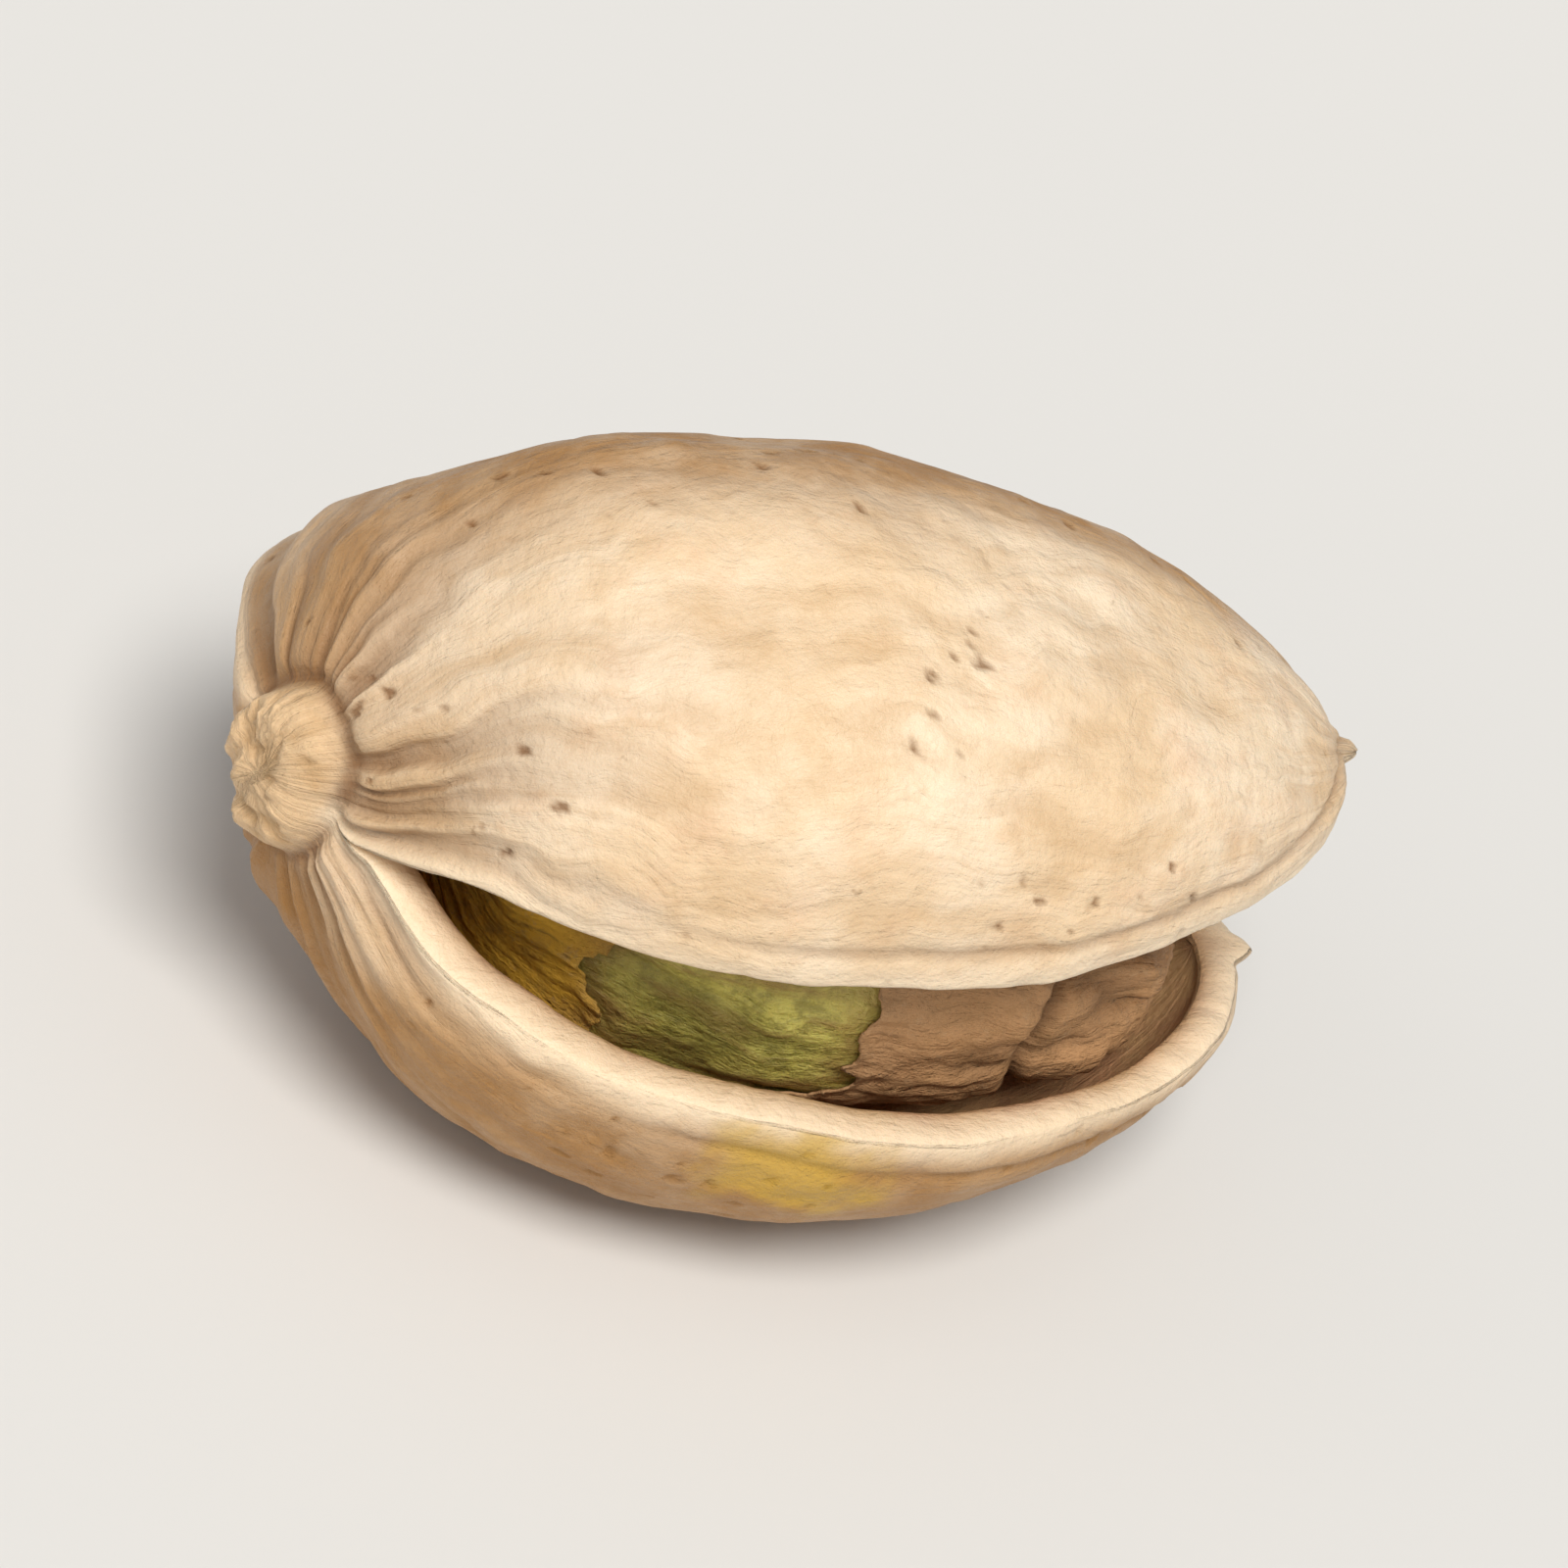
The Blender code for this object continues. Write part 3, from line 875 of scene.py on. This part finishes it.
class ShellSettings(bpy.types.PropertyGroup):
    """Sizes and colours of the shell"""

    rib_depth: length_setting("Rib depth", "Height of the ribs at the stem end", 0.3 * MM)
    wrinkle_height: length_setting("Wrinkle height", "Height of the fine wrinkles", 0.045 * MM)
    unevenness: length_setting("Unevenness", "Height of the broad swells", 0.16 * MM)
    keel_height: length_setting("Keel height", "Height of the keel on the back seam", 0.28 * MM)
    pit_depth: length_setting("Pit depth", "Depth of the small pits", 0.07 * MM)
    beak_length: length_setting("Beak length", "How far the beak stands out", 0.32 * MM)
    lip_round: length_setting("Lip rounding", "How far the split lips bulge", 0.16 * MM)
    upper_gape: strength_setting("Upper gape", "Upper valve's opening, against the lower", 1.13)
    lip_wave: length_setting("Lip wave", "How far the split lips wander", 0.16 * MM)
    rings: count_setting("Rings", "Mesh rings along the nut", 226, 40)
    steps: count_setting("Steps", "Mesh steps across a valve", 150, 20)
    inner_steps: count_setting("Inner steps", "Mesh steps across a valve's inside", 48, 12)
    lip_rows: count_setting("Lip rows", "Mesh rows across a lip", 7, 3)
    cream: colour_setting("Cream", "Main colour", (0.80, 0.60, 0.39))
    pale: colour_setting("Pale", "Palest patches", (0.90, 0.74, 0.55))
    blush: colour_setting("Blush", "Pinkish patches", (0.76, 0.49, 0.31))
    tan: colour_setting("Tan", "Streaks and mottles", (0.55, 0.34, 0.16))
    # the stem end's own colour, also used as painted shade on the back and on the lower valve's
    # outside
    stem_brown_and_shade: colour_setting("Toast", "Stem end, back and underside", (0.385, 0.195, 0.062))
    # bark also paints the shadow in the furrow round the scar
    bark: colour_setting("Bark", "Grooves, pits and specks", (0.20, 0.085, 0.025))
    lip: colour_setting("Lip", "The split lips", (0.93, 0.76, 0.55))
    cork: colour_setting("Cork", "The stem scar", (0.76, 0.53, 0.31))
    lining: colour_setting("Lining", "Inside of the shell", (0.50, 0.27, 0.14))
    stain: colour_setting("Stain", "Yellow stain on the lower valve", (0.58, 0.36, 0.045))


class SeedSettings(bpy.types.PropertyGroup):
    """Sizes and colours of the seed and its coat"""

    fold_depth: length_setting("Fold depth", "Depth of the seed's folds", 0.35 * MM)
    coat_gap: length_setting("Coat gap", "Space between the seed and its coat", 0.05 * MM)
    coat_thickness: length_setting("Coat thickness", "Thickness of the papery coat", 0.05 * MM)
    curl: length_setting("Curl", "How far torn edges stand up", 0.16 * MM)
    rings: count_setting("Rings", "Mesh rings along the seed", 120, 20)
    steps: count_setting("Steps", "Mesh steps round the seed", 150, 20)
    coat_rings: count_setting("Coat rings", "Mesh rings along the coat", 180, 20)
    coat_steps: count_setting("Coat steps", "Mesh steps round the coat", 230, 20)
    green: colour_setting("Green", "Seed flesh", (0.66, 0.60, 0.12))
    yellow_green: colour_setting("Yellow green", "Worn seed flesh", (0.88, 0.80, 0.20))
    olive: colour_setting("Olive", "Folds of the seed", (0.24, 0.21, 0.05))
    umber: colour_setting("Umber", "Brown veins and scraps of coat on the seed", (0.42, 0.26, 0.08))
    ochre: colour_setting("Ochre", "Coat near the stem", (0.95, 0.55, 0.06))
    mauve: colour_setting("Mauve", "Coat towards the beak", (0.54, 0.30, 0.14))
    bark: colour_setting("Bark", "Darker patches of the coat", (0.36, 0.20, 0.08))
    brown: colour_setting("Brown", "Veins and folds of the coat", (0.14, 0.07, 0.03))
    pale: colour_setting("Pale", "Rubbed spots and torn edges of the coat", (0.56, 0.37, 0.21))


class StageSettings(bpy.types.PropertyGroup):
    """Camera, lights and floor"""

    azimuth: angle_setting("Azimuth", "Camera turn from the front", -32)
    elevation: angle_setting("Elevation", "Camera height", 38.5)
    roll: angle_setting("Roll", "Camera roll, which turns the picture clockwise", 25)
    lens: FloatProperty(name="Lens", description="Focal length", default=180,
                        subtype="DISTANCE_CAMERA")
    field: length_setting("Field", "Width that the camera sees at the nut", 30 * MM)
    key: strength_setting("Key light", "Strength of the main light", 2.8)
    fill: strength_setting("Fill light", "Strength of the light from the left", 0.35)
    surround: strength_setting("Surround", "Strength of the light all round", 0.34)
    floor: colour_setting("Floor", "Colour of the floor", (0.72, 0.72, 0.715))


# ---------------------------------------------------------------- operators


def take_place(piece, node, material):
    """The piece stands for a node of the frame, in that node's finish."""
    piece.data.materials.append(material)
    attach(piece, "root")
    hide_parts(node)


class PISTACHIO_OT_shell(bpy.types.Operator):
    """Add the split shell"""

    bl_idname = "pistachio.shell"
    bl_label = "Add shell"

    def execute(self, context):
        settings = context.scene.pistachio_shell
        take_place(build_shell(settings), "shell", shell_material(settings))
        return {"FINISHED"}


class PISTACHIO_OT_kernel(bpy.types.Operator):
    """Add the green seed"""

    bl_idname = "pistachio.kernel"
    bl_label = "Add kernel"

    def execute(self, context):
        settings = context.scene.pistachio_seed
        take_place(build_kernel(settings), "kernel", kernel_material(settings))
        return {"FINISHED"}


class PISTACHIO_OT_coat(bpy.types.Operator):
    """Add the torn seed coat"""

    bl_idname = "pistachio.coat"
    bl_label = "Add coat"

    def execute(self, context):
        settings = context.scene.pistachio_seed
        take_place(build_coat(settings), "skin", coat_material(settings))
        return {"FINISHED"}


FLOOR_HALF_WIDTH = 1.5
KEY_SOFTNESS, FILL_SOFTNESS = math.radians(26), math.radians(70)
WARM_WHITE = 1, 0.965, 0.91
PLAIN_WHITE = 1, 1, 1
SURROUND_WHITE = 1, 0.99, 0.97, 1
CLIP_SPAN = 100  # the camera sees from its distance over this to its distance times this


def add_floor(colour):
    """A wide flat floor under the nut."""
    bm = bmesh.new()
    bmesh.ops.create_grid(bm, x_segments=8, y_segments=8, size=FLOOR_HALF_WIDTH)
    mesh = bpy.data.meshes.new("floor")
    bm.to_mesh(mesh)
    bm.free()
    mesh.materials.append(floor_material(colour))
    floor = bpy.data.objects.new("floor", mesh)
    bpy.context.scene.collection.objects.link(floor)
    floor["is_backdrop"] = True


def camera_axes(settings):
    """Right, up and back directions of the camera, rolled."""
    a, e, r = settings.azimuth, settings.elevation, settings.roll
    back = Vector((math.sin(a) * math.cos(e), -math.cos(a) * math.cos(e), math.sin(e)))
    right = Vector((math.cos(a), math.sin(a), 0))
    up = back.cross(right)
    return (right * math.cos(r) + up * math.sin(r), up * math.cos(r) - right * math.sin(r), back)


def add_camera(settings, target):
    """A long lens that looks at the target."""
    data = bpy.data.cameras.new("camera")
    data.lens = settings.lens
    right, up, back = camera_axes(settings)
    distance = settings.field * data.lens / data.sensor_width
    turn = Matrix((right, up, back)).transposed().to_4x4()
    camera = bpy.data.objects.new("camera", data)
    camera.matrix_world = Matrix.Translation(target + back * distance) @ turn
    data.clip_start, data.clip_end = distance / CLIP_SPAN, distance * CLIP_SPAN
    bpy.context.scene.collection.objects.link(camera)
    bpy.context.scene.camera = camera


def add_light(name, direction, softness, strength, colour):
    """A broad soft light from this direction, as even over the floor as a big studio light."""
    data = bpy.data.lights.new(name, "SUN")
    data.angle, data.energy, data.color = softness, strength, colour
    light = bpy.data.objects.new(name, data)
    light.rotation_mode = "QUATERNION"
    light.rotation_quaternion = direction.to_track_quat("Z", "Y")
    bpy.context.scene.collection.objects.link(light)


class PISTACHIO_OT_stage(bpy.types.Operator):
    """Add the floor, the soft lights and the camera"""

    bl_idname = "pistachio.stage"
    bl_label = "Add stage"

    def execute(self, context):
        settings = context.scene.pistachio_stage
        low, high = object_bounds()
        target = (low + high) / 2
        add_floor(settings.floor)
        right, up, back = camera_axes(settings)
        from_key = up * 0.3 + back + right * 0.3
        from_fill = back - right * 0.9 + Vector((0, 0, 0.3))
        add_light("key", from_key, KEY_SOFTNESS, settings.key, WARM_WHITE)
        add_light("fill", from_fill, FILL_SOFTNESS, settings.fill, PLAIN_WHITE)
        world = bpy.data.worlds.new("soft_surround")
        world.use_nodes = True
        background = world.node_tree.nodes["Background"]
        background.inputs["Color"].default_value = SURROUND_WHITE
        background.inputs["Strength"].default_value = settings.surround
        context.scene.world = world
        context.scene.view_settings.view_transform = "Standard"
        add_camera(settings, target)
        return {"FINISHED"}


class PISTACHIO_PT_panel(bpy.types.Panel):
    """Buttons for each piece of the pistachio"""

    bl_idname = "PISTACHIO_PT_panel"
    bl_label = "Pistachio"
    bl_space_type = "VIEW_3D"
    bl_region_type = "UI"
    bl_category = "Pistachio"

    def draw(self, context):
        for operator in STEPS:
            self.layout.operator(operator.bl_idname)
        for name in GROUPS:
            settings = getattr(context.scene, name)
            for key in settings.bl_rna.properties.keys():
                if key not in ("rna_type", "name"):
                    self.layout.prop(settings, key)


GROUPS = {
    "pistachio_shell": ShellSettings,
    "pistachio_seed": SeedSettings,
    "pistachio_stage": StageSettings,
}
STEPS = (PISTACHIO_OT_shell, PISTACHIO_OT_kernel, PISTACHIO_OT_coat, PISTACHIO_OT_stage)


def register():
    for cls in (*GROUPS.values(), *STEPS, PISTACHIO_PT_panel):
        bpy.utils.register_class(cls)
    for name, cls in GROUPS.items():
        setattr(bpy.types.Scene, name, PointerProperty(type=cls))


def unregister():
    for name in GROUPS:
        delattr(bpy.types.Scene, name)
    for cls in reversed((*GROUPS.values(), *STEPS, PISTACHIO_PT_panel)):
        bpy.utils.unregister_class(cls)


def main():
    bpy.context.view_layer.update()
    register()
    bpy.ops.pistachio.shell()
    bpy.ops.pistachio.kernel()
    bpy.ops.pistachio.coat()
    bpy.ops.pistachio.stage()


if __name__ == "__main__":
    main()
